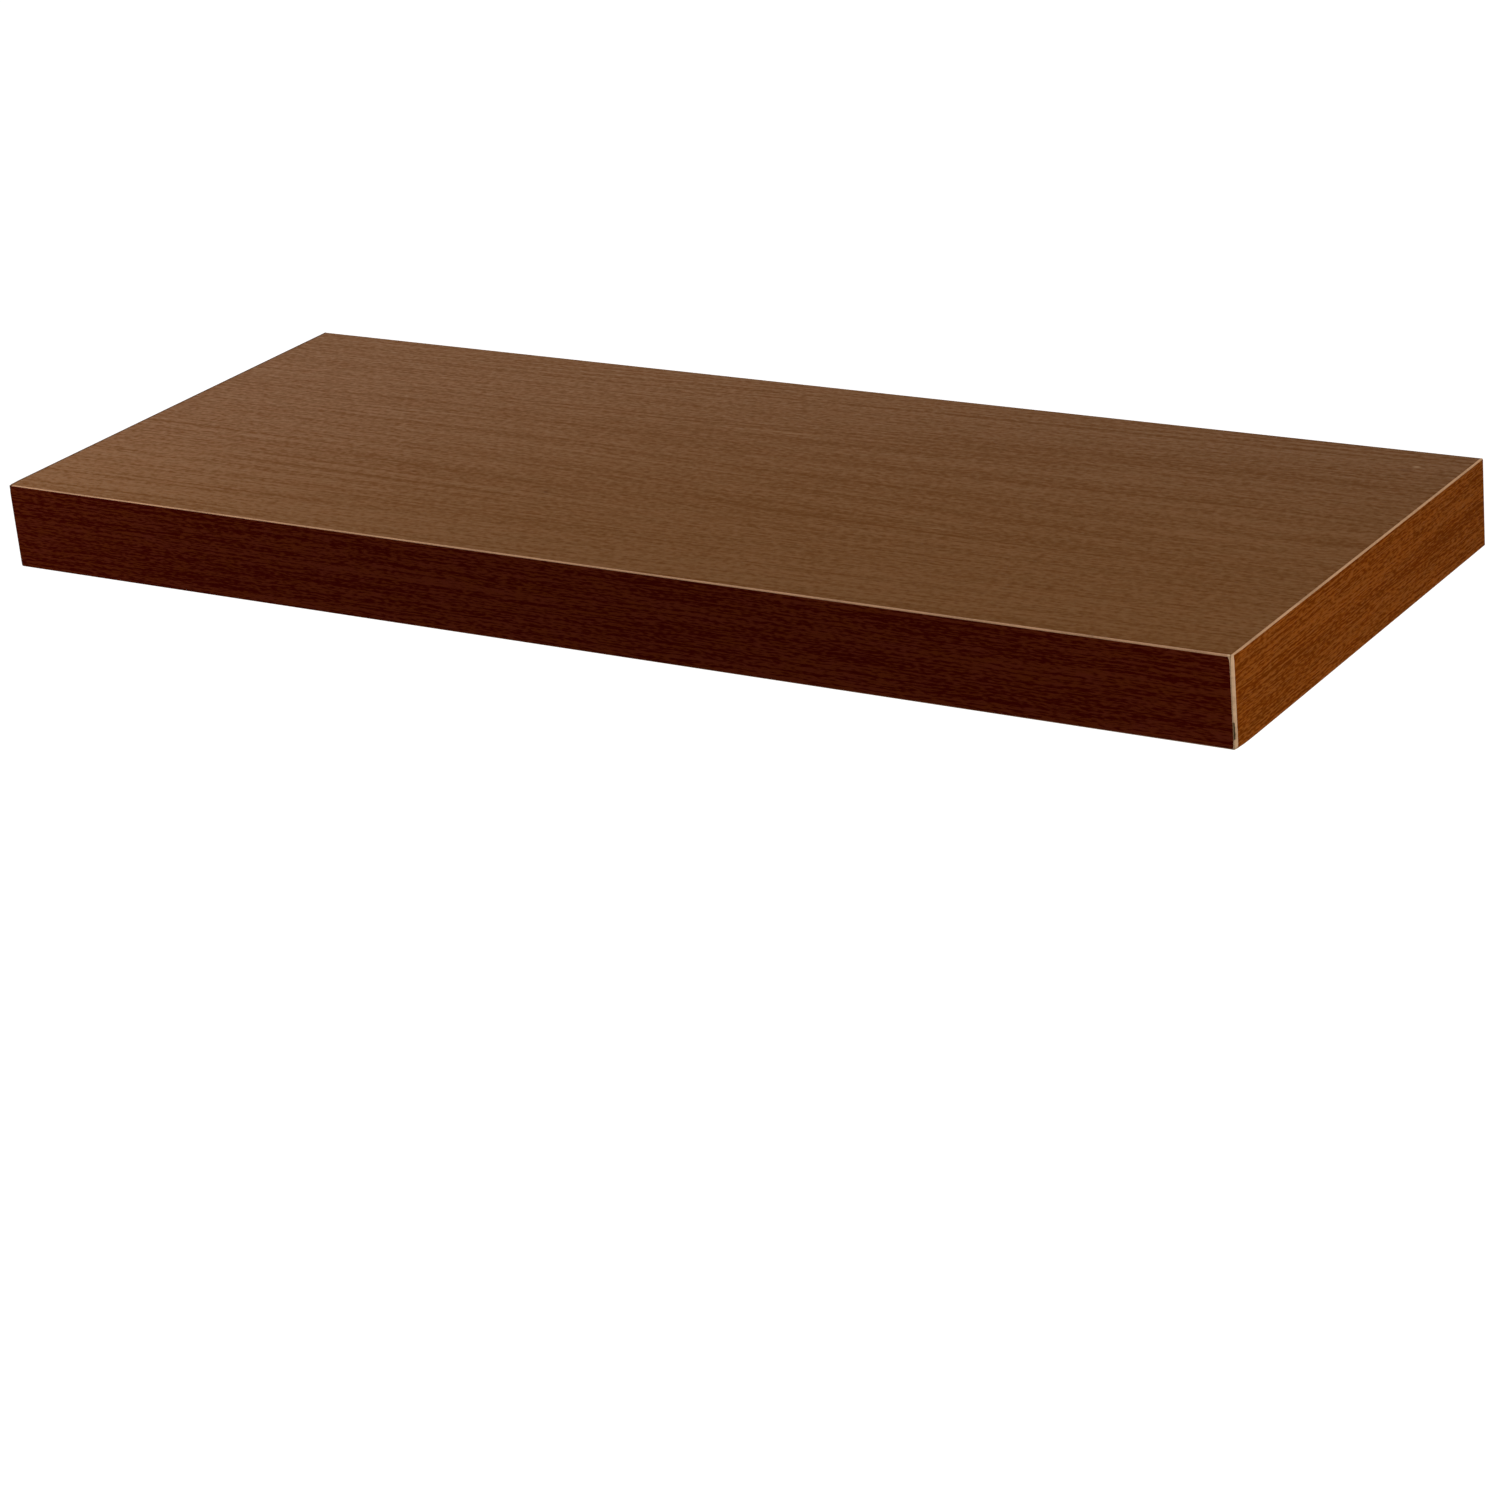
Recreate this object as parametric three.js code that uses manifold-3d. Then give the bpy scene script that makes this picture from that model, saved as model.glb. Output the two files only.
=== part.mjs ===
// A floating wall shelf: a hollow-core board with a wood print that slides over two hidden steel rods.
// The rods stand on a steel rail that is screwed to the wall and lies in a recess in the board's back.
//
// Lengths are millimetres. The origin is on the wall plane, at the middle of the board's length and height.
// +X runs along the shelf, +Z is up, and the board reaches out of the wall towards -Y.
import * as THREE from "three";
import { mergeVertices } from "three/addons/utils/BufferGeometryUtils.js";
import Module from "manifold-3d";

const wasm = await Module();
wasm.setup();

// Board: two skins on a glued frame, with printed bands round the edges
const boardLength = 600;
const boardDepth = 230;
const boardHeight = 38;
const skinThickness = 3;
const bandThickness = 1;
const bandBevel = 0.5; // trimmed along the band's long edges
const cornerBevel = 1.45; // trimmed down the two upright front corners
const glueLine = 0.1; // adhesive between two glued faces

// Frame inside the board
const endRailWidth = 18;
const frontRailWidth = 18;
const rearRailWidth = 18;
const guideBlockWidth = 50;

// Paper honeycomb in the bays of the frame, pulled out until its cells fill the bay
const cellWidth = 26; // from wall to wall, before the sheet is fitted to its bay
const cellWallThickness = 0.4;
const coreClearance = 0.5;
const rowShiftShare = 0.25; // of a cell, which the rows are shifted by, one way and the other in turn

// Rods, which stand out of the wall rail
const rodInset = 85; // from the wall rail's end
const rodDiameter = 12;
const rodTipBevel = 1.5;
const rodClearance = 0.3; // all round, in the board's bores
const boreEndClearance = 5; // past the rod's tip
const boreFloor = 53; // of the guide block, left whole past the bore's end
const weldLeg = 2;
const spigotDiameter = 8; // the rod's turned-down end, set into the rail
const spigotClearance = 0.3;

// Wall rail, in the recess in the board's back
const wallRailThickness = 3;
const wallRailCornerRadius = 4;
const railEndPlay = 21; // between the rail and the board, at each end
const railEdgePlay = 2; // above and below

// Screws and plugs that hold the rail to the wall
const outerScrewInset = 25; // from the wall rail's end
const innerScrewOffset = 60; // from the middle of the rail
const screwDiameter = 4;
const screwLength = 30; // under the head
const screwPointLength = 5;
const screwHeadDiameter = 8;
const screwHeadHeight = 3;
const screwHeadRimHeight = 1;
const screwSeatClearance = 0.1;
const screwHoleClearance = 0.75; // round the screw, in the rail
const screwSlotTravel = 5; // sideways, in the rail's outer holes
const crossRecessSpan = 4.4;
const crossRecessWidth = 1;
const crossRecessDepth = 1.8;
const headClearance = 2; // between the screw heads and the board's rear rail
const plugWall = 0.7;
const plugLength = 25;
const plugBoreClearance = 0.3;
const plugRibDepth = 0.4;
const plugRibCount = 6;
const plugSlitWidth = 1;
const plugCollarLength = 4; // left whole, at the plug's mouth
const plugSetBack = 2.5; // from the wall plane, under the plaster

const overrun = 1; // of every cut, past the faces that it opens
const roundSegments = 40;
const smallRoundSegments = 24;
const plugSegments = 16;
const headArcSegments = 5;

// Places that follow from the sizes
const halfLength = boardLength / 2;
const halfHeight = boardHeight / 2;
const frontFace = -boardDepth;
const panelEnd = halfLength - bandThickness - glueLine;
const panelFront = frontFace + bandThickness + glueLine;
const skinInside = halfHeight - skinThickness;
const railTop = skinInside - glueLine;
const endRailInside = panelEnd - endRailWidth;
const bayEnd = endRailInside - glueLine;
const frontRailBack = panelFront + frontRailWidth;
const rearRecess = wallRailThickness + screwHeadHeight + screwSeatClearance + headClearance;
const rearRailBack = -rearRecess;
const rearRailFront = rearRailBack - rearRailWidth;
const blockFront = frontRailBack + glueLine;
const blockBack = rearRailFront - glueLine;
const boreRadius = rodDiameter / 2 + rodClearance;
const boreEnd = blockFront + boreFloor;
const rodTip = boreEnd + boreEndClearance;
const railFace = -wallRailThickness;
const railEnd = endRailInside - railEndPlay;
const wallRailTop = skinInside - railEdgePlay;
const rodOffset = railEnd - rodInset;
const outerScrewOffset = railEnd - outerScrewInset;

// Finishes
const finish = (color, roughness, metalness = 0) =>
  new THREE.MeshStandardMaterial({ color, roughness, metalness });
const topFoil = finish(0x6b4529, 0.42);
const edgeFoil = finish(0x5a2a0f, 0.45);
const rawBoard = finish(0xb58d62, 0.9);
const paper = finish(0xc09a68, 0.95);
const zincSteel = finish(0xb9bcc0, 0.35, 1);
const nylon = finish(0x8b8f94, 0.55);

// How a prism's outline (u, v) and its length w turn into x, y and z
const prismAxes = {
  x: [new THREE.Vector3(0, 1, 0), new THREE.Vector3(0, 0, 1), new THREE.Vector3(1, 0, 0)],
  y: [new THREE.Vector3(0, 0, 1), new THREE.Vector3(1, 0, 0), new THREE.Vector3(0, 1, 0)],
  z: [new THREE.Vector3(1, 0, 0), new THREE.Vector3(0, 1, 0), new THREE.Vector3(0, 0, 1)],
};

/** A shape extruded along an axis. The shape lies in (y, z) for axis x, (z, x) for y and (x, y) for z. */
function prism(shape, axis, from, to, curveSegments = roundSegments) {
  const geometry = new THREE.ExtrudeGeometry(shape, {
    depth: to - from,
    bevelEnabled: false,
    curveSegments,
  });
  geometry.translate(0, 0, from);
  return geometry.applyMatrix4(new THREE.Matrix4().makeBasis(...prismAxes[axis]));
}

/** A straight-sided outline through the points. */
function outline(points) {
  return new THREE.Shape(points.map(([u, v]) => new THREE.Vector2(u, v)));
}

/** A round-ended slot, or a circle where travel is zero, centred on (u, v) and lying along v. */
function slotShape(u, v, radius, travel) {
  const shape = new THREE.Shape();
  shape.absarc(u, v + travel / 2, radius, 0, Math.PI);
  shape.absarc(u, v - travel / 2, radius, Math.PI, 2 * Math.PI);
  return shape;
}

/** A block between two corners. */
function block([x0, y0, z0], [x1, y1, z1]) {
  const geometry = new THREE.BoxGeometry(x1 - x0, y1 - y0, z1 - z0);
  return geometry.translate((x0 + x1) / 2, (y0 + y1) / 2, (z0 + z1) / 2);
}

/** A round bar along Y. */
function roundBar(x, z, radius, from, to, segments = roundSegments) {
  const geometry = new THREE.CylinderGeometry(radius, radius, to - from, segments);
  return geometry.translate(x, (from + to) / 2, z);
}

/** A turned piece round the Y axis, from the radii and heights of its profile. */
function lathe(profile, segments) {
  const points = profile.map(([radius, y]) => new THREE.Vector2(radius, y));
  return new THREE.LatheGeometry(points, segments);
}

/** A closed solid for cutting and joining. */
function solid(geometry) {
  const bare = geometry.clone();
  bare.deleteAttribute("normal");
  bare.deleteAttribute("uv");
  const merged = mergeVertices(bare);
  const vertProperties = merged.attributes.position.array;
  return new wasm.Manifold(
    new wasm.Mesh({ numProp: 3, vertProperties, triVerts: new Uint32Array(merged.index.array) }),
  );
}

/** A solid's surface as a three.js geometry. */
function surface(cut) {
  const mesh = cut.getMesh();
  const geometry = new THREE.BufferGeometry();
  geometry.setAttribute("position", new THREE.BufferAttribute(mesh.vertProperties, mesh.numProp));
  geometry.setIndex(new THREE.BufferAttribute(mesh.triVerts, 1));
  geometry.computeVertexNormals();
  return geometry;
}

function named(name, geometry, material) {
  const mesh = new THREE.Mesh(geometry, material);
  mesh.name = name;
  return mesh;
}

/** The thin top or bottom skin, from its inner face outwards. */
function skin(name, bottom, top, material) {
  return named(name, block([-panelEnd, panelFront, bottom], [panelEnd, 0, top]), material);
}

/** The board's outside: a block with its long edges and its two upright front corners trimmed off. */
function trimmedBoard() {
  const plan = outline([
    [-halfLength, 0],
    [-halfLength, frontFace + cornerBevel],
    [-halfLength + cornerBevel, frontFace],
    [halfLength - cornerBevel, frontFace],
    [halfLength, frontFace + cornerBevel],
    [halfLength, 0],
  ]);
  const side = outline([
    [0, -halfHeight],
    [0, halfHeight],
    [frontFace + bandBevel, halfHeight],
    [frontFace, halfHeight - bandBevel],
    [frontFace, -halfHeight + bandBevel],
    [frontFace + bandBevel, -halfHeight],
  ]);
  const end = outline([
    [-halfHeight, -halfLength + bandBevel],
    [-halfHeight + bandBevel, -halfLength],
    [halfHeight - bandBevel, -halfLength],
    [halfHeight, -halfLength + bandBevel],
    [halfHeight, halfLength - bandBevel],
    [halfHeight - bandBevel, halfLength],
    [-halfHeight + bandBevel, halfLength],
    [-halfHeight, halfLength - bandBevel],
  ]);
  return solid(prism(plan, "z", -halfHeight, halfHeight))
    .intersect(solid(prism(side, "x", -halfLength, halfLength)))
    .intersect(solid(prism(end, "y", frontFace, 0)));
}

/** The printed bands. The end bands lap over the front band's ends, as they are glued on last. */
function edgeBands() {
  const outside = trimmedBoard();
  const band = (name, low, high) =>
    named(name, surface(solid(block(low, high)).intersect(outside)), edgeFoil);
  const inside = halfLength - bandThickness;
  return [
    band(
      "front_edge_band",
      [-panelEnd, frontFace, -halfHeight],
      [panelEnd, frontFace + bandThickness, halfHeight],
    ),
    band("left_edge_band", [-halfLength, frontFace, -halfHeight], [-inside, 0, halfHeight]),
    band("right_edge_band", [inside, frontFace, -halfHeight], [halfLength, 0, halfHeight]),
  ];
}

function endRail(name, left, right) {
  return named(name, block([left, panelFront, -railTop], [right, 0, railTop]), rawBoard);
}

function frontRail() {
  const low = [-bayEnd, panelFront, -railTop];
  return named("front_rail", block(low, [bayEnd, frontRailBack, railTop]), rawBoard);
}

/** The bores that the rods slide in, from the recess to just past the rods' tips. */
function rodBores() {
  return [-rodOffset, rodOffset].map((x) =>
    solid(roundBar(x, 0, boreRadius, boreEnd, rearRailBack + overrun)),
  );
}

/** The rail that closes the frame at the back, set in from the wall by the depth of the recess. */
function rearRail(bores) {
  const whole = solid(block([-bayEnd, rearRailFront, -railTop], [bayEnd, rearRailBack, railTop]));
  const bored = bores.reduce((rest, bore) => rest.subtract(bore), whole);
  return named("rear_rail", surface(bored), rawBoard);
}

/** The solid block that carries a rod inside the board, from the rear rail to the front rail. */
function guideBlock(name, x, bore) {
  const half = guideBlockWidth / 2;
  const whole = solid(block([x - half, blockFront, -railTop], [x + half, blockBack, railTop]));
  return named(name, surface(whole.subtract(bore)), rawBoard);
}

/** The hollow of one six-sided cell, which stands upright with two of its corners towards -Y and +Y. */
function cellHollow(x, y, pitch, rowPitch) {
  const cell = new THREE.CylinderGeometry(1, 1, boardHeight, 6);
  const toFlat = (pitch - cellWallThickness) / 2;
  const toCorner = (2 * rowPitch) / 3 - cellWallThickness / Math.sqrt(3);
  cell.rotateX(Math.PI / 2);
  cell.scale((2 * toFlat) / Math.sqrt(3), toCorner, 1);
  return solid(cell.translate(x, y, 0));
}

/** A sheet of paper cells that fills a bay. The cells at its border are cut open. */
function honeycomb(name, left, right) {
  const low = [left + coreClearance, frontRailBack + coreClearance, -railTop];
  const high = [right - coreClearance, rearRailFront - coreClearance, railTop];
  const width = high[0] - low[0];
  const depth = high[1] - low[1];
  const columns = Math.max(1, Math.round(width / cellWidth));
  const rows = Math.max(1, Math.round((2 * depth) / (cellWidth * Math.sqrt(3))));
  const pitch = width / columns;
  const rowPitch = depth / rows;
  let sheet = solid(block(low, high));
  for (let row = 0; row <= rows; row += 1) {
    const shift = row % 2 ? -rowShiftShare : rowShiftShare;
    for (let column = 0; column <= columns; column += 1) {
      const x = low[0] + (column + shift) * pitch;
      sheet = sheet.subtract(cellHollow(x, low[1] + row * rowPitch, pitch, rowPitch));
    }
  }
  return named(name, surface(sheet), paper);
}

function honeycombs() {
  const blockOutside = rodOffset + guideBlockWidth / 2;
  const blockInside = rodOffset - guideBlockWidth / 2;
  return [
    honeycomb("left_honeycomb", -endRailInside, -blockOutside),
    honeycomb("centre_honeycomb", -blockInside, blockInside),
    honeycomb("right_honeycomb", blockOutside, endRailInside),
  ];
}

/** The steel bar on the wall, with round-ended holes for the screws and round ones for the rods. */
function wallRail(screwHoles) {
  const r = wallRailCornerRadius;
  const u = wallRailTop - r;
  const v = railEnd - r;
  const shape = new THREE.Shape();
  shape.absarc(u, v, r, 0, Math.PI / 2);
  shape.absarc(-u, v, r, Math.PI / 2, Math.PI);
  shape.absarc(-u, -v, r, Math.PI, 1.5 * Math.PI);
  shape.absarc(u, -v, r, 1.5 * Math.PI, 2 * Math.PI);
  const bar = solid(prism(shape, "y", railFace, 0, smallRoundSegments / 4));
  const spigotHoleRadius = spigotDiameter / 2 + spigotClearance;
  const rodHoles = [-rodOffset, rodOffset].map((x) => slotShape(0, x, spigotHoleRadius, 0));
  const drilled = [...rodHoles, ...screwHoles].reduce((rest, hole) => {
    const cutter = prism(hole, "y", railFace - overrun, overrun, smallRoundSegments / 2);
    return rest.subtract(solid(cutter));
  }, bar);
  return named("wall_rail", surface(drilled), zincSteel);
}

/** A rod with its weld bead against the rail and its turned-down end in the rail. */
function rod(name, x) {
  const r = rodDiameter / 2;
  const spigot = spigotDiameter / 2;
  const seat = railFace - spigotClearance;
  const profile = [
    [0, rodTip],
    [r - rodTipBevel, rodTip],
    [r, rodTip + rodTipBevel],
    [r, seat - weldLeg],
    [r + weldLeg, seat],
    [spigot, seat],
    [spigot, 0],
    [0, 0],
  ];
  return named(name, lathe(profile, roundSegments).translate(x, 0, 0), zincSteel);
}

/** The screws, from left to right. The outer two sit in slots, so that the rail can be set level. */
const screwPlaces = [
  { x: -outerScrewOffset, travel: screwSlotTravel },
  { x: -innerScrewOffset, travel: 0 },
  { x: innerScrewOffset, travel: 0 },
  { x: outerScrewOffset, travel: screwSlotTravel },
];

/** The profile of a pan head: a low dome on an upright rim. */
function panHead(seat) {
  const radius = screwHeadDiameter / 2;
  const rim = seat - screwHeadRimHeight;
  const domeHeight = screwHeadHeight - screwHeadRimHeight;
  const points = [[0, rim - domeHeight]];
  for (let i = headArcSegments - 1; i >= 0; i -= 1) {
    const angle = ((Math.PI / 2) * i) / headArcSegments;
    points.push([radius * Math.cos(angle), rim - domeHeight * Math.sin(angle)]);
  }
  return [...points, [radius, seat]];
}

function wallScrew(name, x) {
  const r = screwDiameter / 2;
  const seat = railFace - screwSeatClearance;
  const end = seat + screwLength;
  const profile = [...panHead(seat), [r, seat], [r, end - screwPointLength], [0, end]];
  const turned = lathe(profile, smallRoundSegments);
  const top = seat - screwHeadHeight;
  const span = crossRecessSpan / 2;
  const half = crossRecessWidth / 2;
  const bottom = top + crossRecessDepth;
  const wings = [
    block([-span, top - overrun, -half], [span, bottom, half]),
    block([-half, top - overrun, -span], [half, bottom, span]),
  ];
  const driven = wings.reduce((rest, wing) => rest.subtract(solid(wing)), solid(turned));
  return named(name, surface(driven).translate(x, 0, 0), zincSteel);
}

/** A ribbed plug in the wall, split down its length so that the screw can spread it. */
function wallPlug(name, x) {
  const inner = screwDiameter / 2 + plugBoreClearance;
  const outer = inner + plugWall;
  const mouth = plugSetBack;
  const end = mouth + plugLength;
  const ribPitch = (plugLength - plugCollarLength) / plugRibCount;
  const ribs = [];
  for (let i = 0; i < plugRibCount; i += 1) {
    const root = mouth + plugCollarLength + i * ribPitch;
    ribs.push([outer - plugRibDepth, root], [outer, root + ribPitch]);
  }
  const start = [inner, mouth];
  const profile = [start, [outer, mouth], [outer, mouth + plugCollarLength], ...ribs, [inner, end], start];
  const tube = solid(lathe(profile, plugSegments));
  const slit = block(
    [-outer - overrun, mouth + plugCollarLength, -plugSlitWidth / 2],
    [outer + overrun, end + overrun, plugSlitWidth / 2],
  );
  return named(name, surface(tube.subtract(solid(slit))).translate(x, 0, 0), nylon);
}

function shelfBoard() {
  const [leftBore, rightBore] = rodBores();
  const group = new THREE.Group();
  group.add(
    skin("top_panel", skinInside, halfHeight, topFoil),
    skin("bottom_panel", -halfHeight, -skinInside, topFoil),
    ...edgeBands(),
    endRail("left_end_rail", -panelEnd, -endRailInside),
    endRail("right_end_rail", endRailInside, panelEnd),
    frontRail(),
    rearRail([leftBore, rightBore]),
    guideBlock("left_guide_block", -rodOffset, leftBore),
    guideBlock("right_guide_block", rodOffset, rightBore),
    ...honeycombs(),
  );
  return group;
}

function wallBracket() {
  const holeRadius = screwDiameter / 2 + screwHoleClearance;
  const screwHoles = screwPlaces.map(({ x, travel }) => slotShape(0, x, holeRadius, travel));
  const group = new THREE.Group();
  group.add(wallRail(screwHoles), rod("left_rod", -rodOffset), rod("right_rod", rodOffset));
  screwPlaces.forEach(({ x }, i) => {
    group.add(wallScrew(`wall_screw_${i + 1}`, x), wallPlug(`wall_plug_${i + 1}`, x));
  });
  return group;
}

const shelf = new THREE.Group();
shelf.add(wallBracket(), shelfBoard());

export default shelf;
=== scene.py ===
"""A floating wall shelf: a board with a dark wood print, and the hidden steel bracket that it slides over.

Lengths are metres. The wall plane is y = 0, the board reaches out of it towards -Y, and Z is up.
"""

import math

import bmesh
import bpy
from mathutils import Matrix, Vector, noise


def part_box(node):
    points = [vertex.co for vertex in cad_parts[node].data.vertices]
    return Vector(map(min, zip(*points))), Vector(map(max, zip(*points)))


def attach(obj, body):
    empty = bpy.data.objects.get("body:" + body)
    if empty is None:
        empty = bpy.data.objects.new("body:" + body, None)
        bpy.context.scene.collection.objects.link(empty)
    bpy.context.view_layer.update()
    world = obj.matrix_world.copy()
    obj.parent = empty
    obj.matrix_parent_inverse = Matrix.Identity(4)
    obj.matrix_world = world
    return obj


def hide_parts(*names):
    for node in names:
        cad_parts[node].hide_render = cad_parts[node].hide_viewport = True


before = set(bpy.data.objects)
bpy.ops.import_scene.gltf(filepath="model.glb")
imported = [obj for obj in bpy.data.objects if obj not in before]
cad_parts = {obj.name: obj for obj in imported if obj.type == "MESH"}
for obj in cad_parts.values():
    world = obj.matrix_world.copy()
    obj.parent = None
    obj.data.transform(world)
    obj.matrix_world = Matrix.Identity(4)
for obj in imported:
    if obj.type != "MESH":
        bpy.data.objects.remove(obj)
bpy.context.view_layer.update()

# Camera, fitted to the board's visible edges
camera_place = Vector((0.96947, -1.52644, 0.60089))
camera_azimuth = math.radians(34.392)
camera_elevation = math.radians(22.538)
camera_roll = math.radians(-5.441)
camera_lens_mm = 101.85
camera_sensor_mm = 36.0

# Light: an even fill, and five soft lamps that all face the board's middle
lamp_target = Vector((0.0, -0.115, 0.0))
lamps = {
    "key_lamp": {"place": (-0.66, 0.16, 1.80), "size": 0.8, "power": 19.4},
    "sheen_lamp": {"place": (-1.34, 0.80, 0.46), "size": 0.8, "power": 1.6},
    "right_lamp": {"place": (1.03, -0.23, 0.124), "size": 0.3, "power": 2.38},
    "left_lamp": {"place": (-0.64, -0.46, 0.21), "size": 0.3, "power": 1.5},
    "front_lamp": {"place": (0.53, -0.46, 0.077), "size": 0.2, "power": 0.29},
}
white_light = (1.0, 1.0, 1.0, 1.0)
fill_light = 0.35
floor_drop = 1.4  # below the shelf, as in a room
floor_reach = 12.0
floor_tone = (0.5, 0.5, 0.5, 1.0)
floor_roughness = 0.9
floor_shown_light = 0.88

# Sizes that follow from the solids
half_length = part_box("right_edge_band")[1].x
half_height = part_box("top_panel")[1].z
front_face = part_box("front_edge_band")[0].y
front_band_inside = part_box("front_edge_band")[1].y
panel_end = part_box("top_panel")[1].x
end_band_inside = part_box("right_edge_band")[0].x

# The bands' trimmed edges
edge_trim = 0.0004
edge_trim_play_share = 0.16  # how much the trimmed width wanders
edge_trim_wander = 0.05  # length over which it does
top_edge_seed_step = 5.0  # so that the top edge wanders unlike the bottom one
front_trim_gain = 1.8  # by what share the front's trim widens over a metre towards the right
corner_trim = 0.0013
edge_fullness = 1.5  # 1 is a flat chamfer, 2 a quarter round
edge_steps = 4
end_corner_steps = 5
front_corner_steps = 2
band_row_count = 30
band_station_gap = 0.006
band_tip_margin = 0.0003
band_tip_lead = edge_trim + band_tip_margin  # how far an end band's inner side stays behind its tip
corner_flare = 0.0011  # the foil's top corners are rubbed round
corner_flare_low_share = 0.4  # of that, at the bottom
corner_flare_reach = 0.0011
corner_flare_run = 0.003
corner_station_shares = (2.0, 1.0, 0.5, 0.2)  # of that run, where the front band's last stations stand
corner_rub = 0.0011  # the end bands' top front corners
corner_rub_run = 0.0015
corner_round = 0.0020  # the bottom front corners, seen from the front
corner_round_run = 0.0040

# The open joint low on the right front corner, and the painted shade in it, mixed with dark glue
joint_gap_top = -0.0074
joint_gap_bottom = -0.0150
joint_gap_depth = 0.0003
joint_gap_soft = 0.0006
joint_gap_ragged = 0.0006  # how far its ends wander
joint_gap_fineness = 1500  # of that wandering, to the metre
joint_gap_seed = 4.0
shade_and_glue_reach = 0.00072  # past where the corner's trim starts
shade_and_glue_side_ragged = 0.0003
shade_and_glue_side_soft = 0.0001
shade_and_glue_end_ragged = 0.0012

# The skins, rails and blocks
panel_edge_round = 0.00015
raw_edge_round = 0.0003
round_segments = 2
round_profile = 0.5  # a true arc
print_facing_share = 0.3  # how far out of a skin a face has to look to carry the print
smooth_angle = math.radians(35)  # edges that turn further than this stay sharp
merge_reach = 0.000001

# The steel bracket
rail_corner = 0.004
rail_corner_steps = 10
rail_edge_round = 0.0004
rail_edge_resolution = 2
rail_hole_gap = 0.0003  # round the rod's turned-down end
rail_screw_hole_radius = 0.00275
slot_travel = 0.005  # of the outer screws, sideways
spigot_radius = 0.004
spigot_ease = 0.0003
rod_radius = 0.006
rod_station_count = 12
rod_tip_ease = 0.0015
rod_tip_steps = 6
rod_segments = 72
weld_leg = 0.002
weld_steps = 8
weld_swell_share = 0.12  # of the leg, which the bead bulges by
weld_toe = 0.0002
weld_ripple = 0.0003
weld_ripple_count = 26
weld_sway = 0.04  # in radians, by which the ripples are unevenly spaced
weld_sway_count = 5
weld_bow = 3.0  # the bend of each ripple across the bead, in radians of its phase

# Screws and wall plugs
screw_numbers = (1, 2, 3, 4)
slotted_numbers = (1, 4)
head_height = 0.003
head_rim = 0.001
head_crown_radius = 0.0012
head_steps = 8
head_seat_ease = 0.0001
recess_half_span = 0.0022
recess_half_width = 0.0005
recess_depth = 0.0018
recess_floor_share = 0.35
thread_pitch = 0.0018
thread_outer = 0.002
thread_core = 0.00135
thread_place_share = 0.5  # of the pitch, where the ridge stands
thread_half_width_share = 0.2  # of the pitch
thread_start = 0.003  # of plain neck under the head
screw_point = 0.005
screw_point_power = 0.8  # below 1 the point is fuller than a cone
screw_tip_share = 0.05  # of the radius, left at the very tip
stations_per_pitch = 10
screw_segments = 24
plug_bore_radius = 0.0023
plug_mouth_flare = 0.0002
plug_mouth_depth = 0.0004
plug_rib_depth = 0.0004
plug_rib_count = 6
plug_rib_step_share = 0.15  # of a rib's length, over which it steps down
plug_collar = 0.004
plug_slit = 0.001
plug_slit_round_share = 1 / 3
plug_segments = 40

# As a level rises, a material goes from its dark tone through its middle one to its light one
mid_level = 0.5
tone_places = [0.1, mid_level, 0.9]
plain_detail = 2.0

# Wood print: dark, middle and light tone of each face
# The skins' tones are the same foil, greyed by a painted sheen
skin_sheen_tones = [(0.112, 0.0416, 0.0101), (0.140, 0.0591, 0.0190), (0.168, 0.0760, 0.0286)]
side_tones = [(0.120, 0.0240, 0.0004), (0.170, 0.0415, 0.0028), (0.228, 0.0630, 0.0080)]
# The front's tones are the end bands' foil, darkened as painted shade
front_shaded_tones = [(0.051, 0.0020, 0.0001), (0.073, 0.0080, 0.0006), (0.104, 0.0160, 0.0024)]
skin_surface = {"Specular IOR Level": 0.009}
band_surface = {"Specular IOR Level": 0.004}
foil_roughness = 0.55
foil_roughness_swing = -0.15
foil_relief = 0.00004

# Wood print: the grain's layers, from broad streaks to fine fibres
skin_wave = {"length": 0.22, "width": 0.03, "height": 0.006}
band_wave = {"length": 0.03, "width": 0.01, "height": 0.0020}
band_grain_layers = [
    {"length": 0.30, "width": 0.0060, "weight": 0.25, "detail": 1.0},
    {"length": 0.080, "width": 0.00060, "weight": 2.1, "detail": 0.0},
    {"length": 0.0028, "width": 0.00050, "weight": 2.6, "detail": 0.0},
    {"length": 0.0070, "width": 0.00050, "weight": 1.2, "detail": 0.0},
    {"length": 0.0120, "width": 0.00018, "weight": 0.7, "detail": 0.0},
]
skin_grain_layers = [
    {"length": 0.50, "width": 0.0300, "weight": 0.35, "detail": 2.0},
    {"length": 0.32, "width": 0.0025, "weight": 0.90, "detail": 1.0},
    {"length": 0.030, "width": 0.0016, "weight": 0.60, "detail": 1.0},
    {"length": 0.0040, "width": 0.0015, "weight": 1.10, "detail": 0.0},
    {"length": 0.0022, "width": 0.0016, "weight": 1.20, "detail": 1.0},
    {"length": 0.0140, "width": 0.00025, "weight": 0.60, "detail": 0.0},
]
flowing_length = 0.020  # grain shorter than this stays straight
opening_place = -0.140  # the opening in the skins' grain, in front of their middle
opening_half_width = 0.045
opening_shift = 0.034
grain_rise = 0.014  # of the skins' other grain, from the left end to the right one
band_ripple = {"pitch": 0.0027, "drift": 0.0040, "length": 0.018, "width": 0.007, "weight": 0.13}
ripple_seed_step = 0.5
skin_lines = [
    {"length": 0.25, "width": 0.0023, "detail": 0.0, "start": 0.08, "full": 0.20, "weight": -0.24},
    {"length": 0.25, "width": 0.0017, "detail": 0.0, "start": 0.10, "full": 0.22, "weight": 0.18},
]
line_seed_step = 0.7
line_mean_share = 0.15  # of its weight, taken off all over so that the mean tone stays

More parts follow.
